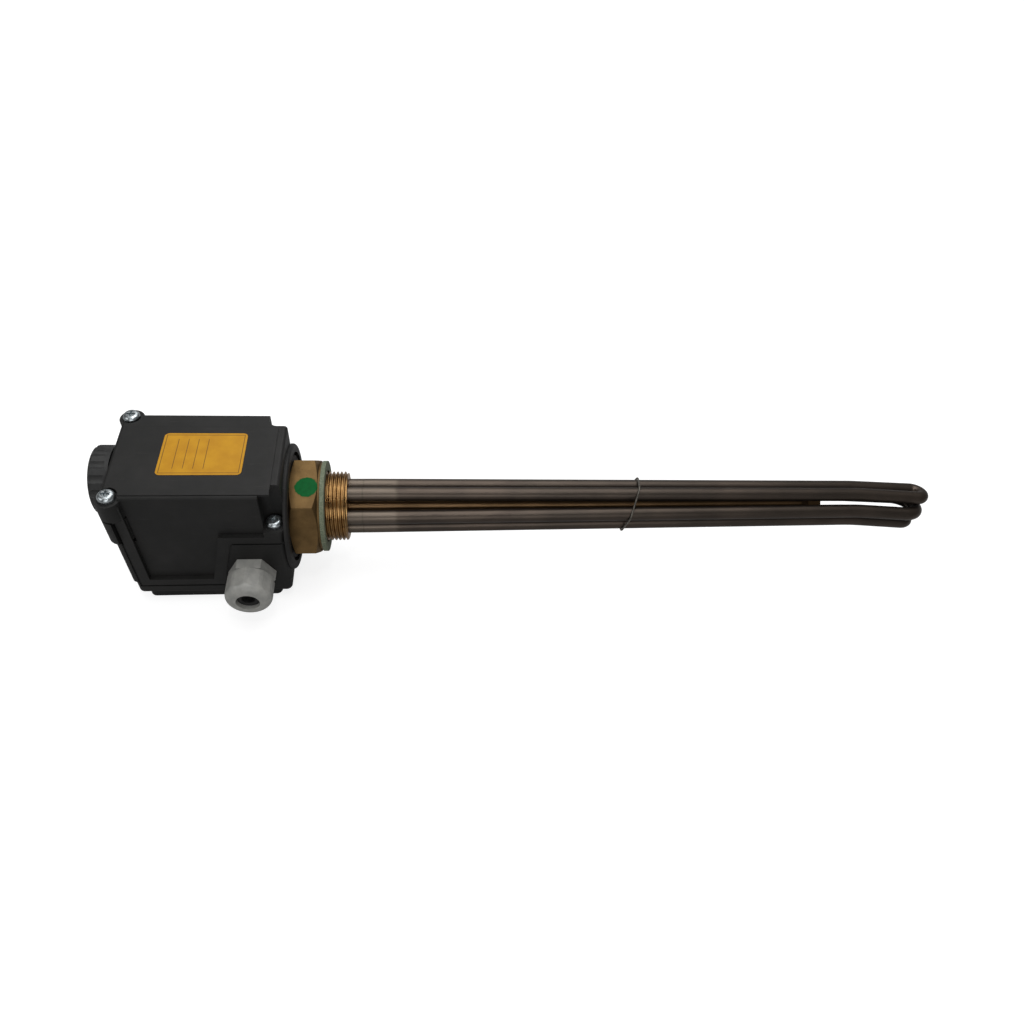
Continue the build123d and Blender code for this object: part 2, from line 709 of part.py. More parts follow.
# Thermostat behind the end wall, with its spindle through the wall to the knob
thermostat_rear = cavity_left + thermostat_length
thermostat_low = knob_z - thermostat_height / 2
half_width = thermostat_width / 2
thermostat = box(cavity_left, thermostat_rear, -half_width, half_width, thermostat_low, thermostat_low + thermostat_height)
thermostat = fillet(thermostat.edges().filter_by(Axis.X), 3)
thermostat = chamfer(thermostat.faces().sort_by(Axis.X)[-1].edges(), 1.2)
spindle_bore = spindle_diameter + 2 * spindle_clearance
thermostat -= rod_x(spindle_bore, cavity_left - 1, cavity_left + spindle_depth + 0.5, 0, knob_z)
for side in front_sides:
    hole_y = side * thermostat_screw_spacing / 2
    thermostat -= rod_x(device_screw_diameter, cavity_left - 1, cavity_left + 7, hole_y, knob_z)
parts["thermostat_body"] = thermostat
thermostat_screw = pan_screw(device_screw_diameter - 0.1, device_screw_head_diameter, device_screw_head_height, 8)
screw_spots = [Pos(housing_left, side * thermostat_screw_spacing / 2, knob_z) for side in front_sides]
parts["thermostat_screws"] = Compound([spot * Rot(0, -90, 0) * thermostat_screw for spot in screw_spots])
tabs = []
for index in (-1, 0, 1):
    tab_y = index * tab_pitch
    tab = Pos(thermostat_rear + tab_length / 2, tab_y, knob_z) * Box(tab_length, tab_width, tab_thickness)
    tabs.append(tab)
parts["thermostat_tabs"] = Compound(tabs)

knob_inner = housing_left - knob_gap
knob_outer = knob_inner - knob_height
knob_recess = 2 * (thermostat_screw_spacing / 2 + device_screw_head_diameter / 2 + 0.5)
knob = rod_x(knob_diameter, knob_outer, knob_inner, 0, knob_z)
knob = fillet(knob.edges().sort_by(Axis.X)[0], 1.6)
for index in range(knob_flutes):
    angle = 2 * math.pi * (index + 0.5) / knob_flutes
    reach = knob_diameter / 2 + knob_flute_radius - knob_flute_depth
    flute_y = reach * math.cos(angle)
    flute_z = knob_z + reach * math.sin(angle)
    knob -= rod_x(2 * knob_flute_radius, knob_outer - 1, knob_inner - 2.2, flute_y, flute_z)
dish = rod_x(knob_diameter * 0.72, knob_outer - 1, knob_outer + 1.2, 0, knob_z)
knob -= dish
knob += box(knob_outer, knob_outer + 2, -knob_diameter * 0.3, knob_diameter * 0.3, knob_z - 3, knob_z + 3)
pointer = box(knob_outer - 1, knob_outer + 0.6, -0.6, 0.6, knob_z + knob_diameter * 0.38, knob_z + knob_diameter * 0.47)
knob -= pointer
knob -= rod_x(knob_recess, knob_inner - 5.5, knob_inner + 1, 0, knob_z)
knob += rod_x(12, knob_inner - 6, knob_inner - 0.4, 0, knob_z)
knob -= rod_x(spindle_diameter + 0.06, knob_inner - knob_bore_depth, knob_inner + 1, 0, knob_z)
parts["thermostat_knob"] = knob
spindle_outer = knob_inner - knob_bore_depth + 0.2
parts["thermostat_spindle"] = rod_x(spindle_diameter, spindle_outer, cavity_left + spindle_depth, 0, knob_z)

# Safety limiter on the plate's shelf, with a reset button on top
limiter_top = plate_shelf_z + limiter_height
limiter = box(
    limiter_x - limiter_length / 2,
    limiter_x + limiter_length / 2,
    limiter_y - limiter_width / 2,
    limiter_y + limiter_width / 2,
    plate_shelf_z,
    limiter_top,
)
limiter = fillet(limiter.edges().filter_by(Axis.Z), 2)
limiter = chamfer(limiter.faces().sort_by(Axis.Z)[-1].edges(), 1)
button_foot = limiter_top - 6.0
limiter += rod_z(button_diameter + 4, limiter_top - 1, limiter_top + 1.6, limiter_x, limiter_y)
limiter -= rod_z(button_diameter + 2 * button_clearance, button_foot - button_travel - 0.4, limiter_top + 3, limiter_x, limiter_y)
parts["limiter_body"] = limiter
button = rod_z(button_diameter, button_foot, limiter_top + 1.6 + button_height, limiter_x, limiter_y)
parts["reset_button"] = fillet(button.edges().group_by(Axis.Z)[-1], 0.9)

# Bulbs lie side by side in the pocket, with capillaries that run to the two bodies
pocket_room = pocket_diameter / 2 - pocket_wall
thermostat_bulb_lift = pocket_room - thermostat_bulb_diameter / 2 - 0.15
limiter_bulb_lift = -(pocket_room - limiter_bulb_diameter / 2 - 0.15)


def bulb(diameter, length, lift):
    """A round-ended bulb in the pocket."""
    _, y, z = bundle_point(0, lift, 0)
    blank = rod_x(diameter, bulb_start, bulb_start + length, y, z)
    return fillet(blank.edges().filter_by(GeomType.CIRCLE), diameter * 0.4)


parts["thermostat_bulb"] = bulb(thermostat_bulb_diameter, thermostat_bulb_length, thermostat_bulb_lift)
parts["limiter_bulb"] = bulb(limiter_bulb_diameter, limiter_bulb_length, limiter_bulb_lift)
_, route_y, route_z = bundle_point(0, thermostat_bulb_lift, 0)
thermostat_route = [
    (bulb_start, route_y, route_z),
    (pocket_rear - capillary_straight, route_y, route_z),
    (pocket_rear - capillary_straight - capillary_bend, route_y, route_z + capillary_rise),
    (thermostat_rear + capillary_entry, thermostat_port_side, knob_z + thermostat_port_lift),
    (thermostat_rear, thermostat_port_side, knob_z + thermostat_port_lift),
]
bends = [capillary_bend, capillary_bend, capillary_entry_bend]
parts["thermostat_capillary"] = round_tube(thermostat_route, bends, capillary_diameter)
_, route_y, route_z = bundle_point(0, limiter_bulb_lift, 0)
limiter_rear = limiter_x + limiter_length / 2
limiter_route = [
    (bulb_start, route_y, route_z),
    (pocket_rear - capillary_straight + 2 * capillary_diameter, route_y, route_z),
    (limiter_rear + capillary_entry, limiter_y, plate_shelf_z + limiter_port_height),
    (limiter_rear, limiter_y, plate_shelf_z + limiter_port_height),
]
bends = [capillary_bend, capillary_entry_bend]
parts["limiter_capillary"] = round_tube(limiter_route, bends, capillary_diameter)

# Terminal block on two posts in the foot
block_low = floor_top
block_half = block_width / 2
block = box(
    block_x - block_length / 2, block_x + block_length / 2, -block_half, block_half, block_low, block_low + block_height
)
block = fillet(block.edges().filter_by(Axis.Z), 1)
clamps = []
block_pitch = block_width / block_poles
for index in range(block_poles):
    pole_y = (index - (block_poles - 1) / 2) * block_pitch
    block -= rod_x(5.0, block_x - block_length, block_x + block_length, pole_y, block_low + block_bore_height)
    for end in front_sides:
        clamp_x = block_x + end * block_length / 4
        block -= rod_z(4.4, block_low + 8, block_low + block_height + 1, clamp_x, pole_y)
        clamps.append(rod_z(4.2, block_low + 8, block_low + block_height - 3, clamp_x, pole_y))
for post_x, post_y in block_post_places:
    block -= rod_z(3.3, block_low - 1, block_low + block_height + 1, post_x, post_y)
    block -= rod_z(6.4, block_low + block_height - 4, block_low + block_height + 1, post_x, post_y)
parts["terminal_block"] = block
parts["block_clamp_screws"] = Compound(clamps)
fixing = pan_screw(2.8, 5.6, 2.2, 17)
parts["block_fixing_screws"] = Compound([Pos(x, y, block_low + block_height - 4) * fixing for x, y in block_post_places])

# Earth screw and washer on the plate's shelf
earth_screw_diameter = 3.9
earth_head_diameter = 7.2
earth_head_height = 3.1
earth_screw_length = 7.0
earth_tag_diameter = 9.0
earth_tag_thickness = 1.0
earth_barrel_length = 4.8
earth_x = plate_rear - 14
earth_y = plate_shelf_back - 7
tag_top = plate_shelf_z + earth_tag_thickness
barrel_z = plate_shelf_z + lead_diameter / 2 + sleeve_wall
barrel_start = earth_y + earth_tag_diameter / 2 - 0.4
barrel_end = barrel_start + earth_barrel_length
tag = rod_z(earth_tag_diameter, plate_shelf_z, tag_top, earth_x, earth_y)
tag += rod_y(lead_diameter + 2 * sleeve_wall, barrel_start, barrel_end, earth_x, barrel_z)
tag -= rod_z(earth_screw_diameter + 0.4, plate_shelf_z - 1, tag_top + 1, earth_x, earth_y)
tag -= rod_y(lead_diameter + 2 * lead_clearance, barrel_start + lead_overlap, barrel_end + 1, earth_x, barrel_z)
parts["earth_washer"] = tag
parts["earth_screw"] = Pos(earth_x, earth_y, tag_top) * pan_screw(earth_screw_diameter, earth_head_diameter, earth_head_height, earth_screw_length)
parts["mounting_plate"] -= rod_z(4.1, shelf_low - 1, plate_shelf_z + 1, earth_x, earth_y)

# Tabs on the limiter, and push-on sleeves for them and for two of the thermostat's tabs
limiter_tab_x = limiter_x + limiter_length / 2 - limiter_tab_inset
limiter_tabs = []
limiter_tab_sides = []
for side in front_sides:
    tab_y = limiter_y + side * limiter_tab_side
    limiter_tab_sides.append(tab_y)
    limiter_tabs.append(Pos(limiter_tab_x, tab_y, limiter_top + tab_length / 2) * Box(tab_thickness, tab_width, tab_length))
parts["limiter_tabs"] = Compound(limiter_tabs)


def push_on_sleeve():
    """A sleeve on a tab that points along +X, with the tab's root at the origin."""
    start = tab_length - sleeve_overlap
    end = start + sleeve_length
    half_width = tab_width / 2 + sleeve_wall
    half_height = lead_diameter / 2 + sleeve_wall
    sleeve = fillet(box(start, end, -half_width, half_width, -half_height, half_height).edges().filter_by(Axis.X), 0.8)
    slot_width = tab_width + 2 * lead_clearance
    slot_height = tab_thickness + 2 * lead_clearance
    sleeve -= Pos(tab_length / 2 + lead_clearance, 0, 0) * Box(tab_length, slot_width, slot_height)
    sleeve -= rod_x(lead_diameter + 2 * lead_clearance, end - lead_overlap, end + 1)
    return sleeve


sleeve_end = tab_length - sleeve_overlap + sleeve_length
thermostat_lead_x = thermostat_rear + sleeve_end - lead_overlap
limiter_lead_z = limiter_top + sleeve_end - lead_overlap
sleeves = [Pos(thermostat_rear, side * tab_pitch, knob_z) * push_on_sleeve() for side in front_sides]
sleeves += [Pos(limiter_tab_x, tab_y, limiter_top) * Rot(0, -90, 0) * push_on_sleeve() for tab_y in limiter_tab_sides]
parts["push_on_sleeves"] = Compound(sleeves)

# Crimps on one pin of each link, where the leads join
crimp_rear = pin_rear + crimp_overlap - crimp_length
crimp_lead_x = crimp_rear + lead_overlap
line_pin = line_places[0]
neutral_pin = neutral_places[1]
crimps = []
for y, z in (line_pin, neutral_pin):
    crimp = rod_x(crimp_diameter, crimp_rear, crimp_rear + crimp_length, y, z)
    crimp -= rod_x(pin_diameter + 0.1, pin_rear - 0.1, pin_rear + crimp_length, y, z)
    crimp -= rod_x(lead_diameter + 2 * lead_clearance, crimp_rear - 1, crimp_lead_x, y, z)
    crimps.append(crimp)
parts["crimp_sleeves"] = Compound(crimps)

# Leads: block to thermostat, thermostat to limiter, limiter to line link, block to neutral link, block to earth
floor_run_z = block_low + block_bore_height
block_mouth = block_x + block_length / 2
lead_start = block_mouth - block_length / 4
front_run_y = plate_shelf_front - lead_side_gap
rear_run_y = plate_shelf_back + lead_side_gap
riser_x = thermostat_rear + lead_riser_reach
line_route = [
    (lead_start, -block_pitch, floor_run_z),
    (block_mouth + 1.4 * lead_step, -block_pitch, floor_run_z),
    (riser_x, front_run_y, floor_run_z),
    (riser_x + 0.8 * lead_step, front_run_y, knob_z - lead_riser_drop),
    (riser_x + lead_step, -tab_pitch, knob_z),
    (thermostat_lead_x, -tab_pitch, knob_z),
]
line_bends = [lead_wide_bend, lead_wide_bend, lead_wide_bend, lead_bend]
parts["line_lead"] = round_tube(line_route, line_bends, lead_diameter)
control_route = [
    (thermostat_lead_x, tab_pitch, knob_z),
    (riser_x + 1.2 * lead_step, tab_pitch, knob_z),
    (limiter_tab_x, limiter_tab_sides[1], limiter_lead_z + lead_drop),
    (limiter_tab_x, limiter_tab_sides[1], limiter_lead_z),
]
parts["control_lead"] = round_tube(control_route, [lead_bend, lead_bend], lead_diameter)
load_route = [
    (crimp_lead_x, *line_pin),
    (crimp_rear - lead_step, *line_pin),
    (crimp_rear - 1.4 * lead_step, line_pin[0] - 1.4 * lead_step, line_pin[1] + 1.6 * lead_step),
    (limiter_tab_x, limiter_tab_sides[0], limiter_lead_z + lead_drop),
    (limiter_tab_x, limiter_tab_sides[0], limiter_lead_z),
]
parts["load_lead"] = round_tube(load_route, [lead_bend, lead_bend, lead_bend], lead_diameter)
neutral_x = limiter_rear + 0.2 * lead_step
neutral_route = [
    (crimp_lead_x, *neutral_pin),
    (crimp_rear - 1.2 * lead_step, *neutral_pin),
    (neutral_x, front_run_y, neutral_pin[1] - lead_drop),
    (neutral_x + 0.2 * lead_step, front_run_y, floor_run_z),
    (block_mouth + lead_step, 0, floor_run_z),
    (lead_start, 0, floor_run_z),
]
neutral_bends = [lead_bend, lead_bend, lead_wide_bend, lead_wide_bend]
parts["neutral_lead"] = round_tube(neutral_route, neutral_bends, lead_diameter)
earth_route = [
    (earth_x, barrel_start + lead_overlap, barrel_z),
    (earth_x, rear_run_y, barrel_z),
    (earth_x - 0.8 * lead_step, rear_run_y, floor_run_z),
    (earth_x - 4.8 * lead_step, rear_run_y, floor_run_z),
    (block_mouth + 1.4 * lead_step, block_pitch, floor_run_z),
    (lead_start, block_pitch, floor_run_z),
]
earth_bends = [0.8 * lead_bend, lead_bend, lead_wide_bend, lead_wide_bend]
parts["earth_lead"] = round_tube(earth_route, earth_bends, lead_diameter)

# Cable gland: body through the wall, sealing ring, locknut inside, cone seal and domed nut
wall_front = -base_half_depth
wall_back = -cavity_half_depth
hex_face = wall_front - gland_hex_length
hex_outline = RegularPolygon(gland_hex_across_flats / 2, 6, major_radius=False)
gland_plane = Plane(origin=(gland_x, hex_face, gland_z), x_dir=(1, 0, 0), z_dir=(0, 1, 0))
gland_body = extrude(gland_plane * hex_outline, amount=gland_hex_length)
gland_body += rod_y(gland_thread_diameter, wall_front - 1, wall_back + gland_inner_length, gland_x, gland_z)
gland_collar_end = hex_face - 8.0
gland_body += rod_y(gland_thread_diameter, gland_collar_end, hex_face + 1, gland_x, gland_z)
gland_bore = gland_thread_diameter - 2 * gland_seal_wall
gland_body -= rod_y(gland_bore, gland_collar_end - 1, wall_back + gland_inner_length + 1, gland_x, gland_z)
parts["gland_body"] = gland_body
locknut = Pos(0, wall_back - hex_face, 0) * extrude(
    gland_plane * RegularPolygon(locknut_across_flats / 2, 6, major_radius=False), amount=locknut_thickness
)
locknut -= rod_y(gland_thread_diameter + 0.1, wall_back - 1, wall_back + locknut_thickness + 1, gland_x, gland_z)
parts["gland_locknut"] = locknut
nut_start = hex_face - gland_nut_gap
nut_end = nut_start - gland_nut_length
gland_nut = rod_y(gland_nut_diameter, nut_end, nut_start, gland_x, gland_z)
dome_edge = gland_nut.edges().sort_by(Axis.Y)[0]
gland_nut = fillet(dome_edge, gland_dome_radius)
for index in range(gland_flats):
    flat = box(gland_nut_diameter / 2 - 0.35, gland_nut_diameter, nut_end - 1, nut_start + 1, -20, 20)
    gland_nut -= Pos(gland_x, 0, gland_z) * Rot(0, 360 * index / gland_flats, 0) * flat
gland_nut -= rod_y(gland_opening_diameter, nut_end - 1, nut_start + 1, gland_x, gland_z)
gland_nut -= rod_y(gland_thread_diameter + 0.2, gland_collar_end - 2.5, nut_start + 1, gland_x, gland_z)
parts["gland_nut"] = gland_nut
seal_front = nut_end + 2.5
gland_seal = rod_y(gland_opening_diameter - 0.4, seal_front, gland_collar_end + 7, gland_x, gland_z)
gland_seal -= rod_y(gland_opening_diameter - 0.4 - 2 * gland_seal_wall, seal_front - 1, gland_collar_end + 8, gland_x, gland_z)
parts["gland_seal"] = gland_seal

os.makedirs("parts", exist_ok=True)
for name, shape in parts.items():
    export_step(shape, f"parts/{name}.step")
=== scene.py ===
import math

import bpy
from mathutils import Matrix, Vector


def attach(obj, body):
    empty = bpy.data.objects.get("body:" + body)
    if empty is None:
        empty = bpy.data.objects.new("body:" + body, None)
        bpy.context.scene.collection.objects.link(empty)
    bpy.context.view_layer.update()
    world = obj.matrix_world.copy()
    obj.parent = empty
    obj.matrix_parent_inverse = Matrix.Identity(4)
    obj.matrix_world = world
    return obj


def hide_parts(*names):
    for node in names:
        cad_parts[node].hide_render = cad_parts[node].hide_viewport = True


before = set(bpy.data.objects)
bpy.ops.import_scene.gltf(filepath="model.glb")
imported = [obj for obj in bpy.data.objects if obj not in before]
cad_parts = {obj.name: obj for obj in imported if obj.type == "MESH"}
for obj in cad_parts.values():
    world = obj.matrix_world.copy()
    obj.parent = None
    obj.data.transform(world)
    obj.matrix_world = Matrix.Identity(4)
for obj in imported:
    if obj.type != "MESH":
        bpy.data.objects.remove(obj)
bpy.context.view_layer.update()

MM = 0.001

# Camera
# The heater is seen from above its front side, with the terminal box on the left
# and the tube ends on the right. The lens takes in the whole square picture.
camera_data = bpy.data.cameras.new("camera")
camera_data.sensor_width = 36.0
camera_data.lens = 28.72
camera_data.clip_start = 0.01
camera_data.clip_end = 20.0
camera = bpy.data.objects.new("camera", camera_data)
bpy.context.scene.collection.objects.link(camera)
camera_right = Vector((0.9939, -0.0761, 0.0795))
camera_up = Vector((0.0069, 0.7639, 0.6452))
camera_back = Vector((-0.1098, -0.6408, 0.7598))
camera_axes = Matrix((camera_right, camera_up, camera_back)).transposed().to_4x4()
camera.matrix_world = Matrix.Translation(Vector((58.9, -330.8, 385.2)) * MM) @ camera_axes
bpy.context.scene.camera = camera
bpy.context.scene.view_settings.view_transform = "Standard"


class Value:
    """A socket of a material, with arithmetic that adds Math nodes."""

    def __init__(self, finish, socket):
        self.finish = finish
        self.socket = socket

    def _maths(self, operation, *values):
        return self.finish.node("ShaderNodeMath", {"operation": operation}, dict(enumerate(values)))

    def __add__(self, other):
        return self._maths("ADD", self, other)

    def __sub__(self, other):
        return self._maths("SUBTRACT", self, other)

    def __mul__(self, other):
        return self._maths("MULTIPLY", self, other)

    def __truediv__(self, other):
        return self._maths("DIVIDE", self, other)

    def __pow__(self, other):
        return self._maths("POWER", self, other)

    def __radd__(self, other):
        return self._maths("ADD", other, self)

    def __rsub__(self, other):
        return self._maths("SUBTRACT", other, self)

    def __rmul__(self, other):
        return self._maths("MULTIPLY", other, self)


class Finish:
    """A material under way, with the few nodes that this heater's finishes need."""

    def __init__(self, name):
        self.material = bpy.data.materials.new(name)
        self.material.use_nodes = True
        self.tree = self.material.node_tree
        self.shader = self.tree.nodes["Principled BSDF"]

    def node(self, kind, settings=None, sockets=None, output=0):
        """Adds a node, sets it up, fills its sockets and gives its output."""
        made = self.tree.nodes.new(kind)
        for name, value in (settings or {}).items():
            setattr(made, name, value)
        for name, value in (sockets or {}).items():
            self.feed(made.inputs[name], value)
        return Value(self, made.outputs[output])

    def feed(self, socket, value):
        """Links a value into a socket, or sets the socket to a plain number or colour."""
        if isinstance(value, Value):
            self.tree.links.new(value.socket, socket)
        elif isinstance(value, tuple) and len(socket.default_value) == 4:
            socket.default_value = (*value, 1.0)
        else:
            socket.default_value = value

    def surface(self, **values):
        """Fills the shader's own sockets, with underscores for the spaces in their names."""
        for name, value in values.items():
            self.feed(self.shader.inputs[name.replace("_", " ")], value)
        return self

    def place(self, centre=(0, 0, 0), turn=(0, 0, 0), stretch=(1, 1, 1)):
        """The object's own coordinates in metres, about a centre, turned and stretched."""
        coordinates = self.node("ShaderNodeTexCoord", output=3)
        moved = self.node(
            "ShaderNodeVectorMath", {"operation": "SUBTRACT"}, {0: coordinates, 1: tuple(c * MM for c in centre)}
        )
        return self.node("ShaderNodeMapping", {}, {"Vector": moved, "Rotation": turn, "Scale": stretch})

    def along(self, axis, place=None):
        """One coordinate, in millimetres."""
        split = self.node("ShaderNodeSeparateXYZ", {}, {0: place or self.place()}, "XYZ".index(axis))
        return split * 1000

    def noise(self, size, detail=3.0, place=None, contrast=0.5):
        """Noise from 0 to 1 whose blotches are about so many millimetres wide."""
        sockets = {
            "Vector": place or self.place(),
            "Scale": 1000.0 / size,
            "Detail": detail,
            "Roughness": contrast,
        }
        return self.node("ShaderNodeTexNoise", {}, sockets)

    def ease(self, value, low, high, start=0.0, end=1.0):
        """Goes smoothly from start to end while the value goes from low to high."""
        sockets = {"Value": value, 1: low, 2: high, 3: start, 4: end}
        return self.node("ShaderNodeMapRange", {"interpolation_type": "SMOOTHSTEP"}, sockets)

    def blend(self, share, first, second):
        """A colour between two others."""
        return self.node("ShaderNodeMix", {"data_type": "RGBA"}, {0: share, 6: first, 7: second}, 2)

    def bump(self, height, depth, under=None):
        """A normal from a height in 0 to 1, with its depth in millimetres."""
        sockets = {"Height": height, "Strength": 1.0, "Distance": depth * MM}
        if under:
            sockets["Normal"] = under
        return self.node("ShaderNodeBump", {}, sockets)


def paint(red, green, blue):
    """A colour given as it looks on a screen, 0 to 255, made linear."""
    linear = []
    for level in (red, green, blue):
        level /= 255
        linear.append(level / 12.92 if level <= 0.04045 else ((level + 0.055) / 1.055) ** 2.4)
    return tuple(linear)


# Floor, backdrop and lamps
# A plain white table under the foot of the box, lit by large soft lamps overhead
# and behind, and by weaker ones from the left and from the front.
FOOT_Z = -48.0
floor_finish = Finish("white_table")
floor_finish.tree.nodes.remove(floor_finish.shader)
light_path = floor_finish.tree.nodes.new("ShaderNodeLightPath")
seen_straight = Value(floor_finish, light_path.outputs["Is Camera Ray"])
seen_mirrored = Value(floor_finish, light_path.outputs["Is Glossy Ray"])
table_paint = floor_finish.node("ShaderNodeBsdfDiffuse", {}, {"Color": (0.38, 0.38, 0.38)})
glow_strength = seen_straight * 0.8 + seen_mirrored * 0.08
table_glow = floor_finish.node("ShaderNodeEmission", {}, {"Color": (1.0, 1.0, 1.0), "Strength": glow_strength})
table_sum = floor_finish.node("ShaderNodeAddShader", {}, {0: table_paint, 1: table_glow})
floor_finish.feed(floor_finish.tree.nodes["Material Output"].inputs["Surface"], table_sum)
bpy.ops.object.select_all(action="DESELECT")
bpy.ops.mesh.primitive_plane_add(size=14.0, location=(0, 0, FOOT_Z * MM))
table = bpy.context.object
table.name = "table"
table.data.materials.append(floor_finish.material)

world = bpy.data.worlds.new("studio")
world.use_nodes = True
bpy.context.scene.world = world
world_tree = world.node_tree
sky = world_tree.nodes["Background"]
sky.inputs["Color"].default_value = (1.0, 1.0, 1.0, 1.0)
sky.inputs["Strength"].default_value = 0.17
bright_sky = world_tree.nodes.new("ShaderNodeBackground")
bright_sky.inputs["Strength"].default_value = 1.0
world_path = world_tree.nodes.new("ShaderNodeLightPath")
sky_mix = world_tree.nodes.new("ShaderNodeMixShader")
world_tree.links.new(world_path.outputs["Is Camera Ray"], sky_mix.inputs[0])
world_tree.links.new(sky.outputs[0], sky_mix.inputs[1])
world_tree.links.new(bright_sky.outputs[0], sky_mix.inputs[2])
world_tree.links.new(sky_mix.outputs[0], world_tree.nodes["World Output"].inputs["Surface"])


def soft_lamp(name, spot, aim, size, power):
    """A square lamp at a spot in metres, aimed at another."""
    lamp_data = bpy.data.lights.new(name, "AREA")
    lamp_data.shape = "SQUARE"
    lamp_data.size = size
    lamp_data.energy = power
    lamp = bpy.data.objects.new(name, lamp_data)
    bpy.context.scene.collection.objects.link(lamp)
    lamp.location = spot
    lamp.rotation_euler = (Vector(aim) - Vector(spot)).to_track_quat("-Z", "Y").to_euler()


soft_lamp("overhead_lamp", (0.15, 0.3, 1.5), (0.12, 0.0, 0.0), 1.3, 14.0)
soft_lamp("side_lamp", (-1.1, -0.4, 0.9), (0.0, 0.0, 0.0), 0.7, 3.0)
soft_lamp("rear_lamp", (0.2, 1.25, 1.35), (0.1, 0.0, 0.0), 1.5, 10.0)
soft_lamp("front_lamp", (0.1, -1.6, 0.7), (0.1, 0.0, 0.0), 1.0, 8.0)
soft_lamp("small_lamp", (0.14, -0.5, 1.4), (0.05, 0.0, 0.0), 0.16, 2.2)


# Housing: base and cover
# Both are moulded in one charcoal plastic with a fine spark-eroded skin. The flat
# top is a little greyer from handling, and edges and corners show faint scuffs.
def dress(finish, *names):
    """Gives a finish to the heater's parts of these names."""
    for name in names:
        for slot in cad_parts[name].material_slots:
            slot.material = finish.material


def band(finish, value, middle, half_width, soft=0.08):
    """1 within half a width of a middle value, and 0 outside, with a soft edge."""
    distance = finish.node("ShaderNodeMath", {"operation": "ABSOLUTE"}, {0: value - middle})
    return finish.ease(distance, half_width - soft, half_width + soft, 1.0, 0.0)


housing = Finish("charcoal_moulding")
handling = housing.noise(26.0, 4.0)
cloud = housing.noise(7.0, 5.0)
grain = housing.noise(0.42, 2.0)
scratches = housing.noise(2.4, 3.0, housing.place(turn=(0.1, 0.2, 0.7), stretch=(0.12, 2.2, 1.0)))
scuff = housing.ease(scratches * 0.6 + cloud * 0.4, 0.60, 0.70)
charcoal = housing.blend(housing.ease(handling, 0.35, 0.7), paint(18, 18, 17), paint(27, 26, 25))
charcoal = housing.blend(scuff * 0.22, charcoal, paint(56, 54, 52))
# A thin painted shade line darkens the flat top along the rear panel step, standing in for the shadow that falls in
# that step.
PANEL_STEP_Y, PANEL_TOP_Z = 21.9, 43.5
painted_step_shade = band(housing, housing.along("Y"), PANEL_STEP_Y, 0.45, 0.2)
painted_step_shade = painted_step_shade * housing.ease(housing.along("Z"), PANEL_TOP_Z, PANEL_TOP_Z + 0.4)
charcoal = housing.blend(painted_step_shade * 0.6, charcoal, paint(8, 8, 8))
skin = housing.bump(grain, 0.018)
skin = housing.bump(housing.noise(9.0, 2.0), 0.05, skin)
housing.surface(Base_Color=charcoal, Roughness=0.50 + cloud * 0.16 - scuff * 0.06, Normal=skin)
housing.surface(Specular_IOR_Level=0.30)
dress(housing, "base", "cover")


# Seals of the housing
# Black rubber cord lies in the joint between base and cover, and a thin black
# gasket closes the housing behind the hexagon.
rubber = Finish("black_rubber")
dust = rubber.noise(1.6, 4.0)
rubber.surface(
    Base_Color=rubber.blend(rubber.ease(dust, 0.45, 0.75), paint(16, 16, 16), paint(38, 37, 35)),
    Roughness=0.72 + dust * 0.15,
    Normal=rubber.bump(rubber.noise(0.5, 2.0), 0.02),
)
dress(rubber, "cover_seal", "housing_gasket", "gland_seal")


# Screws and other zinc-plated steel
# Bright plated pan-head screws hold the cover, and the same plating is on the nuts
# and screws inside. The plating is slightly cloudy, with fine turning marks.
zinc = Finish("bright_zinc")
bloom = zinc.noise(1.1, 4.0)
zinc.surface(
    Base_Color=zinc.blend(zinc.ease(bloom, 0.35, 0.7), paint(152, 159, 162), paint(196, 202, 204)),
    Metallic=1.0,
    Roughness=0.20 + bloom * 0.20,
    Normal=zinc.bump(zinc.noise(0.35, 3.0), 0.01),
)
dress(
    zinc, "cover_screws", "head_screws", "thermostat_screws", "earth_screw", "block_clamp_screws",
    "block_fixing_screws", "terminal_nuts", "terminal_pins", "thermostat_spindle",
)


# Label
# A thin amber foil label with rounded corners is stuck on the flat top. It is left
# blank but for a fine border and a few ruled lines to write on.
LABEL_LEFT, LABEL_RIGHT = -85.6, -39.8
LABEL_FRONT, LABEL_REAR = -16.2, 16.2
LABEL_THICKNESS = 0.16
LABEL_CORNER = 2.6
LABEL_Z = 45.3
label_centre = ((LABEL_LEFT + LABEL_RIGHT) / 2, (LABEL_FRONT + LABEL_REAR) / 2, LABEL_Z)
label_half = ((LABEL_RIGHT - LABEL_LEFT) / 2, (LABEL_REAR - LABEL_FRONT) / 2)


def settle(piece, name, finish, body="heater"):
    """Puts a finished piece's place into its mesh, and names, paints and mounts it."""
    bpy.ops.object.select_all(action="DESELECT")
    piece.select_set(True)
    bpy.context.view_layer.objects.active = piece
    bpy.ops.object.transform_apply(location=True, rotation=True, scale=True)
    piece.name = name
    piece.data.name = name
    piece.data.materials.clear()
    piece.data.materials.append(finish.material)
    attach(piece, body)


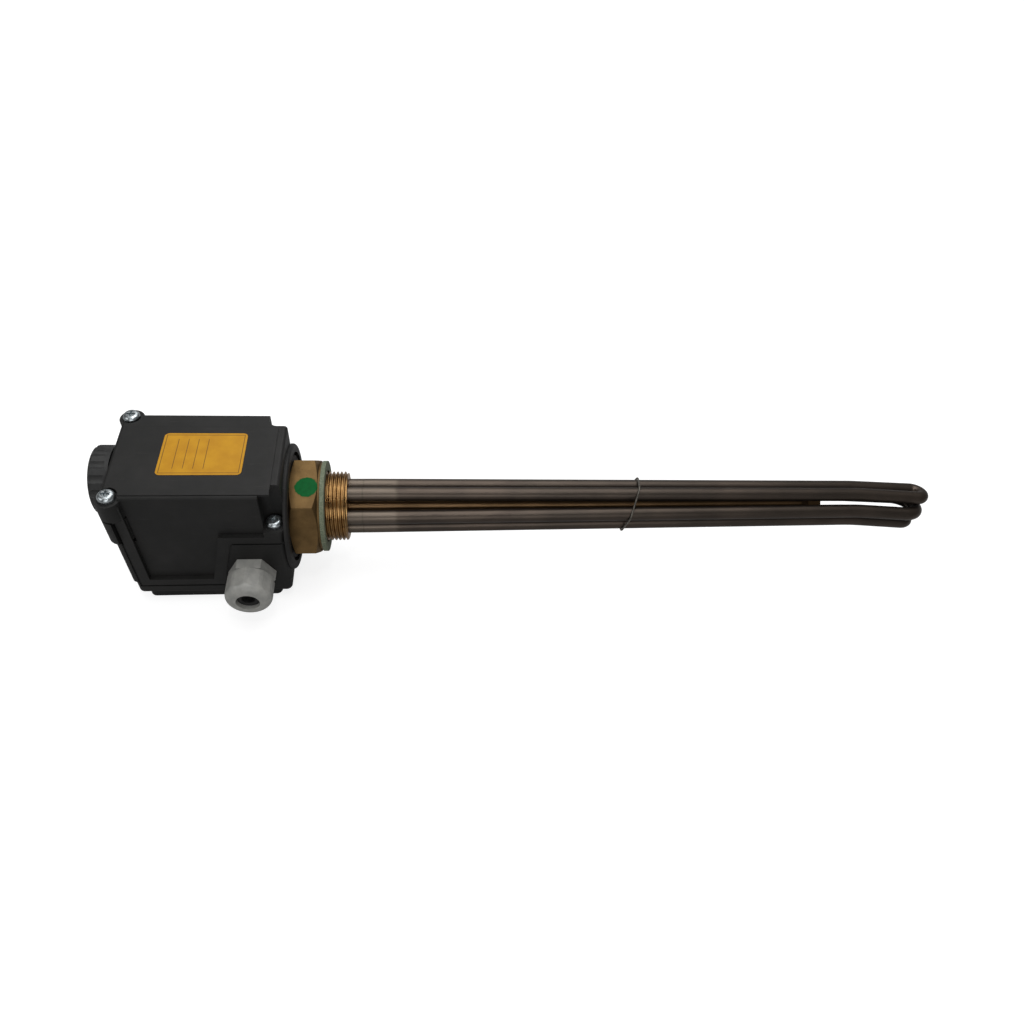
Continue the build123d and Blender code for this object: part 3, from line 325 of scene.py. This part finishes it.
bpy.ops.object.select_all(action="DESELECT")
bpy.ops.mesh.primitive_plane_add(size=1.0)
label = bpy.context.object
label.scale = (2 * label_half[0] * MM, 2 * label_half[1] * MM, 1)
label.location = Vector(label_centre) * MM
bpy.ops.object.transform_apply(location=True, rotation=True, scale=True)
bpy.ops.object.mode_set(mode="EDIT")
bpy.ops.mesh.select_all(action="SELECT")
bpy.ops.mesh.bevel(offset=LABEL_CORNER * MM, segments=8, affect="VERTICES")
bpy.ops.mesh.select_all(action="SELECT")
bpy.ops.mesh.extrude_region_move(TRANSFORM_OT_translate={"value": (0, 0, LABEL_THICKNESS * MM)})
bpy.ops.mesh.select_all(action="SELECT")
bpy.ops.mesh.normals_make_consistent(inside=False)
bpy.ops.object.mode_set(mode="OBJECT")

amber = Finish("amber_label")
label_place = amber.place(centre=label_centre)
label_x = amber.along("X", label_place)
label_y = amber.along("Y", label_place)

BORDER_INSET, BORDER_HALF = 1.5, 0.17
across_x = amber.node("ShaderNodeMath", {"operation": "ABSOLUTE"}, {0: label_x}) - label_half[0]
across_y = amber.node("ShaderNodeMath", {"operation": "ABSOLUTE"}, {0: label_y}) - label_half[1]
rim_depth = amber.node("ShaderNodeMath", {"operation": "MAXIMUM"}, {0: across_x, 1: across_y})
ink = band(amber, rim_depth, -BORDER_INSET, BORDER_HALF)
ruled_rows = band(amber, label_y, 0.0, 11.5)
for ruled_x in (-14.5, -9.0, -3.5, 2.0):
    ruled_line = band(amber, label_x, ruled_x, 0.16) * ruled_rows
    ink = amber.node("ShaderNodeMath", {"operation": "MAXIMUM"}, {0: ink, 1: ruled_line})
fade = amber.noise(9.0, 4.0)
foil = amber.blend(amber.ease(fade, 0.3, 0.7), paint(178, 125, 10), paint(190, 138, 20))
amber.surface(
    Base_Color=amber.blend(ink * 0.85, foil, paint(52, 42, 26)),
    Roughness=0.46 + fade * 0.15,
    Normal=amber.bump(amber.noise(14.0, 2.0), 0.05),
    Specular_IOR_Level=0.25,
)
settle(label, "blank_label", amber)


# Knob
# The thermostat's knob stands on the end wall. It is moulded in a darker, slightly
# glossier black than the housing, and its pointer is a groove in the rim.
knob_black = Finish("knob_moulding")
knob_cloud = knob_black.noise(5.0, 4.0)
knob_black.surface(
    Base_Color=knob_black.blend(knob_black.ease(knob_cloud, 0.4, 0.75), paint(22, 22, 22), paint(36, 36, 35)),
    Roughness=0.38 + knob_cloud * 0.18,
    Normal=knob_black.bump(knob_black.noise(0.5, 2.0), 0.012),
)
dress(knob_black, "thermostat_knob")


# Cable gland
# The gland is light grey nylon, with a hexagon against the housing and a domed nut
# with shallow grip flats. The nylon is faintly mottled.
nylon = Finish("grey_nylon")
mottle = nylon.noise(4.0, 5.0)
nylon.surface(
    Base_Color=nylon.blend(nylon.ease(mottle, 0.3, 0.75), paint(138, 138, 134), paint(156, 155, 150)),
    Roughness=0.34 + mottle * 0.16,
    Normal=nylon.bump(nylon.noise(1.2, 3.0), 0.015),
)
dress(nylon, "gland_body", "gland_nut", "gland_locknut")


# Screw head
# The head is one hot-pressed brass piece, a hexagon and a washer face, with its
# corners turned off and a spigot behind. It has a dull cast skin and a green
# inspection dot on the upper flat that faces the viewer.
HEX_REAR, HEX_FRONT = -17.3, -1.3
HEX_ACROSS_FLATS = 55.0
HEX_TURN = 13.0
CORNER_RADIUS = HEX_ACROSS_FLATS / 2 / math.cos(math.radians(30))


def turned(outline, steps, turn=0.0):
    """Spins an outline of (along, radius) points, in millimetres, about the heater's axis."""
    bpy.ops.object.select_all(action="DESELECT")
    bpy.ops.mesh.primitive_plane_add(size=0.01)
    piece = bpy.context.object
    bpy.ops.object.mode_set(mode="EDIT")
    bpy.ops.mesh.select_all(action="SELECT")
    bpy.ops.mesh.merge(type="CENTER")
    side = Vector((0, math.cos(math.radians(turn)), math.sin(math.radians(turn))))
    spots = [(Vector((along, 0, 0)) + side * radius) * MM for along, radius in outline]
    bpy.ops.transform.translate(value=spots[0])
    for before, after in zip(spots, spots[1:]):
        bpy.ops.mesh.extrude_vertices_move(TRANSFORM_OT_translate={"value": after - before})
    bpy.ops.mesh.select_all(action="SELECT")
    bpy.ops.mesh.spin(steps=steps, angle=2 * math.pi, center=(0, 0, 0), axis=(1, 0, 0))
    bpy.ops.mesh.select_all(action="SELECT")
    bpy.ops.mesh.remove_doubles(threshold=0.00002)
    bpy.ops.mesh.select_all(action="SELECT")
    bpy.ops.mesh.normals_make_consistent(inside=False)
    bpy.ops.object.mode_set(mode="OBJECT")
    return piece


def join_by(piece, other, operation):
    """Cuts or joins a piece with another one, which is used up."""
    modifier = piece.modifiers.new("cut", "BOOLEAN")
    modifier.operation = operation
    modifier.solver = "EXACT"
    modifier.object = other
    bpy.ops.object.select_all(action="DESELECT")
    piece.select_set(True)
    bpy.context.view_layer.objects.active = piece
    bpy.ops.object.modifier_apply(modifier=modifier.name)
    bpy.data.objects.remove(other)


hexagon = turned([(HEX_REAR, 0), (HEX_REAR, CORNER_RADIUS), (HEX_FRONT, CORNER_RADIUS), (HEX_FRONT, 0)], 6, HEX_TURN)
TURNED_CORNER = 2.35
turned_blank = turned(
    [
        (HEX_REAR, 0), (HEX_REAR, 27.3), (HEX_REAR + TURNED_CORNER, 31.9),
        (HEX_FRONT - TURNED_CORNER, 31.9), (HEX_FRONT, 27.3), (HEX_FRONT, 0),
    ],
    128,
)
join_by(hexagon, turned_blank, "INTERSECT")
washer_and_spigot = turned(
    [(-25.3, 0), (-25.3, 17.4), (-24.7, 18), (-16, 18), (-16, 20), (-4, 20), (-4, 26.5), (-0.25, 26.5), (0, 26.25), (0, 0)],
    128,
)
join_by(hexagon, washer_and_spigot, "UNION")
edge_round = hexagon.modifiers.new("worn_edges", "BEVEL")
edge_round.width = 0.35 * MM
edge_round.segments = 2
edge_round.limit_method = "ANGLE"
edge_round.angle_limit = math.radians(28)
bpy.ops.object.modifier_apply(modifier=edge_round.name)
bpy.ops.object.shade_smooth_by_angle(angle=math.radians(32))

cast_brass = Finish("cast_brass")
patina = cast_brass.noise(9.0, 5.0)
speckle = cast_brass.noise(0.9, 4.0)
brass_colour = cast_brass.blend(cast_brass.ease(patina, 0.3, 0.72), paint(94, 74, 46), paint(116, 92, 58))
brass_colour = cast_brass.blend(cast_brass.ease(speckle, 0.62, 0.72) * 0.45, brass_colour, paint(74, 52, 32))
DOT_CENTRE = (-7.5, -8.2, 26.35)
DOT_RADIUS = 6.4
dot_place = cast_brass.place(centre=DOT_CENTRE)
dot_distance = cast_brass.node("ShaderNodeVectorMath", {"operation": "LENGTH"}, {0: dot_place}, 1) * 1000
ragged = cast_brass.noise(3.2, 4.0) * 2.6 - 1.3
dot = cast_brass.ease(dot_distance + ragged, DOT_RADIUS - 0.25, DOT_RADIUS + 0.25, 1.0, 0.0)
green = cast_brass.blend(cast_brass.noise(2.2, 3.0), paint(0, 70, 28), paint(4, 96, 44))
cast_brass.surface(
    Base_Color=cast_brass.blend(dot, brass_colour, green),
    Metallic=0.72 - dot * 0.72,
    Roughness=0.48 + patina * 0.12 + dot * 0.12,
    Specular_IOR_Level=0.12,
    Normal=cast_brass.bump(speckle * 0.6 + patina * 0.4, 0.07, cast_brass.bump(dot, 0.06)),
)
settle(hexagon, "brass_hexagon", cast_brass)
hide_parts("screw_head")


# Pipe thread
# The thread is cut on the head's front: eleven turns to the inch, with rounded
# crests and a chamfered start. The cut brass is brighter than the hexagon.
PITCH = 2.309
CREST_RADIUS, ROOT_RADIUS = 20.955, 19.476
THREAD_END = 15.0
tooth = [(0.0, ROOT_RADIUS), (0.26, ROOT_RADIUS), (0.86, CREST_RADIUS - 0.16), (1.0, CREST_RADIUS)]
tooth += [(1.3, CREST_RADIUS), (1.44, CREST_RADIUS - 0.16), (2.04, ROOT_RADIUS)]
thread_outline = [(index * PITCH - 2 * PITCH + along, radius) for index in range(9) for along, radius in tooth]
bpy.ops.object.select_all(action="DESELECT")
bpy.ops.mesh.primitive_plane_add(size=0.01)
thread = bpy.context.object
bpy.ops.object.mode_set(mode="EDIT")
bpy.ops.mesh.select_all(action="SELECT")
bpy.ops.mesh.merge(type="CENTER")
thread_spots = [Vector((along, radius, 0)) * MM for along, radius in thread_outline]
bpy.ops.transform.translate(value=thread_spots[0])
for before, after in zip(thread_spots, thread_spots[1:]):
    bpy.ops.mesh.extrude_vertices_move(TRANSFORM_OT_translate={"value": after - before})
bpy.ops.object.mode_set(mode="OBJECT")
helix = thread.modifiers.new("helix", "SCREW")
helix.axis = "X"
helix.angle = 2 * math.pi
helix.screw_offset = PITCH * MM
helix.steps = helix.render_steps = 96
helix.use_merge_vertices = True
helix.merge_threshold = 0.00002
bpy.ops.object.modifier_apply(modifier=helix.name)
bpy.ops.object.mode_set(mode="EDIT")
for cut_x, inner in ((-0.5, True), (THREAD_END + 0.5, False)):
    bpy.ops.mesh.select_all(action="SELECT")
    bpy.ops.mesh.remove_doubles(threshold=0.00003)
    bpy.ops.mesh.select_all(action="SELECT")
    bpy.ops.mesh.bisect(
        plane_co=(cut_x * MM, 0, 0), plane_no=(1, 0, 0), use_fill=True, clear_inner=inner, clear_outer=not inner
    )
bpy.ops.mesh.select_all(action="SELECT")
bpy.ops.mesh.normals_make_consistent(inside=False)
bpy.ops.object.mode_set(mode="OBJECT")
START_CHAMFER = 0.9
chamfered = turned(
    [
        (-0.1, 0), (-0.1, 21.4), (THREAD_END - START_CHAMFER - 0.445, 21.4),
        (THREAD_END, CREST_RADIUS - START_CHAMFER), (THREAD_END, 0),
    ],
    96,
)
join_by(thread, chamfered, "INTERSECT")
bpy.ops.object.shade_smooth_by_angle(angle=math.radians(24))

cut_brass = Finish("cut_brass")
turning = cut_brass.noise(1.5, 3.0, cut_brass.place(stretch=(6.0, 0.25, 0.25)))
tarnish = cut_brass.noise(5.0, 4.0)
cut_brass.surface(
    Base_Color=cut_brass.blend(cut_brass.ease(tarnish, 0.35, 0.7), paint(138, 106, 66), paint(170, 136, 88)),
    Metallic=1.0,
    Roughness=0.22 + tarnish * 0.14,
    Normal=cut_brass.bump(turning, 0.012),
)
settle(thread, "pipe_thread", cut_brass)
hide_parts("screw_head")


# Tank gasket
# A flat ring of grey-green pressed fibre sits against the washer face.
fibre = Finish("pressed_fibre")
fleck = fibre.noise(0.8, 5.0)
fibre.surface(
    Base_Color=fibre.blend(fibre.ease(fleck, 0.35, 0.7), paint(88, 98, 78), paint(122, 128, 106)),
    Roughness=0.78,
    Normal=fibre.bump(fleck, 0.05),
)
dress(fibre, "tank_gasket")


# Heating tubes
# Three hairpins of annealed stainless tube. They are dark brown grey where they
# heat, paler in the cold zone by the brass, and finely streaked from drawing.
tube = Finish("annealed_tube")
tube_x = tube.along("X")
streak = tube.noise(1.0, 3.0, tube.place(stretch=(0.04, 1.6, 1.6)))
heat_tint = tube.noise(30.0, 3.0)
blotch = tube.noise(6.0, 4.0, tube.place(stretch=(0.35, 1.0, 1.0)))
hot = tube.blend(tube.ease(heat_tint, 0.35, 0.68), paint(68, 61, 55), paint(78, 69, 62))
hot = tube.blend(tube.ease(blotch, 0.52, 0.75) * 0.5, hot, paint(58, 50, 46))
cold_edge = tube_x + blotch * 3.0
cold = tube.ease(cold_edge, 43.5, 47.0, 1.0, 0.0)
ring_mark = band(tube, tube_x + streak * 0.6, 24.1, 0.45, 0.3)
steel_colour = tube.blend(cold, hot, paint(98, 89, 80))
steel_colour = tube.blend(ring_mark * 0.4, steel_colour, paint(70, 62, 56))
tube.surface(
    Base_Color=tube.blend(streak * 0.25, steel_colour, paint(50, 44, 39)),
    Metallic=0.92,
    Roughness=0.30 + streak * 0.14 + blotch * 0.06,
    Normal=tube.bump(streak, 0.02),
)
dress(tube, "hairpin_upper", "hairpin_middle", "hairpin_lower")


# Sensor pocket
# A drawn tube between the hairpins, tinted like old bronze, with its end pressed
# flat. The two sensing bulbs lie in it.
pocket = Finish("bronze_tube")
pocket_streak = pocket.noise(1.0, 3.0, pocket.place(stretch=(0.04, 1.6, 1.6)))
pocket_tint = pocket.noise(22.0, 3.0)
pocket.surface(
    Base_Color=pocket.blend(pocket.ease(pocket_tint, 0.3, 0.7), paint(104, 82, 56), paint(122, 96, 68)),
    Metallic=0.95,
    Roughness=0.28 + pocket_streak * 0.14,
    Normal=pocket.bump(pocket_streak, 0.02),
)
dress(pocket, "sensor_pocket")


# Binding wire
# One turn of soft steel wire keeps the bundle together.
wire = Finish("soft_wire")
wire_rust = wire.noise(1.5, 4.0)
wire.surface(
    Base_Color=wire.blend(wire.ease(wire_rust, 0.4, 0.7), paint(96, 92, 86), paint(132, 128, 120)),
    Metallic=0.95,
    Roughness=0.32 + wire_rust * 0.18,
    Normal=wire.bump(wire_rust, 0.01),
)
dress(wire, "binding_wire")


# Inside the housing
# Sheet-steel plate, black phenolic thermostat and limiter, red reset button, pale
# terminal block, white steatite bushes, nickelled links and tabs, copper bulbs and
# capillaries, and silicone-sleeved leads.
def simple_finish(name, dark, light, size, roughness, metallic=0.0, depth=0.015):
    """A finish for a part inside the housing: two shades in a fine mottle."""
    finish = Finish(name)
    shade = finish.noise(size, 4.0)
    finish.surface(
        Base_Color=finish.blend(finish.ease(shade, 0.35, 0.7), dark, light),
        Metallic=metallic,
        Roughness=roughness + shade * 0.12,
        Normal=finish.bump(finish.noise(size / 4, 3.0), depth),
    )
    return finish


dress(simple_finish("zinc_sheet", paint(150, 154, 156), paint(184, 188, 188), 8.0, 0.28, 1.0), "mounting_plate")
dress(simple_finish("phenolic", paint(26, 24, 23), paint(44, 41, 38), 3.0, 0.42), "thermostat_body", "limiter_body")
dress(simple_finish("red_button", paint(150, 22, 20), paint(176, 32, 28), 2.0, 0.28), "reset_button")
dress(simple_finish("pale_moulding", paint(206, 202, 190), paint(224, 220, 208), 5.0, 0.40), "terminal_block")
dress(simple_finish("steatite", paint(222, 216, 202), paint(238, 234, 224), 2.0, 0.30), "end_bushes")
dress(simple_finish("copper", paint(182, 110, 78), paint(206, 134, 98), 4.0, 0.26, 1.0),
      "thermostat_bulb", "limiter_bulb", "thermostat_capillary", "limiter_capillary")
nickelled = simple_finish("nickelled_brass", paint(170, 162, 140), paint(198, 190, 168), 2.5, 0.26, 1.0)
dress(nickelled, "link_bar_line", "link_bar_neutral", "thermostat_tabs", "earth_washer",
      *[name for name in ("limiter_tabs", "push_on_sleeves", "crimp_sleeves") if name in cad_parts])
LEAD_COLOURS = {
    "line_lead": (96, 58, 36), "control_lead": (96, 58, 36), "load_lead": (96, 58, 36),
    "neutral_lead": (44, 78, 140), "earth_lead": (62, 120, 52),
}
for lead, (red, green_level, blue) in LEAD_COLOURS.items():
    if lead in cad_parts:
        sleeve = simple_finish(lead + "_sleeve", paint(red, green_level, blue),
                               paint(red + 16, green_level + 16, blue + 16), 2.0, 0.5)
        dress(sleeve, lead)
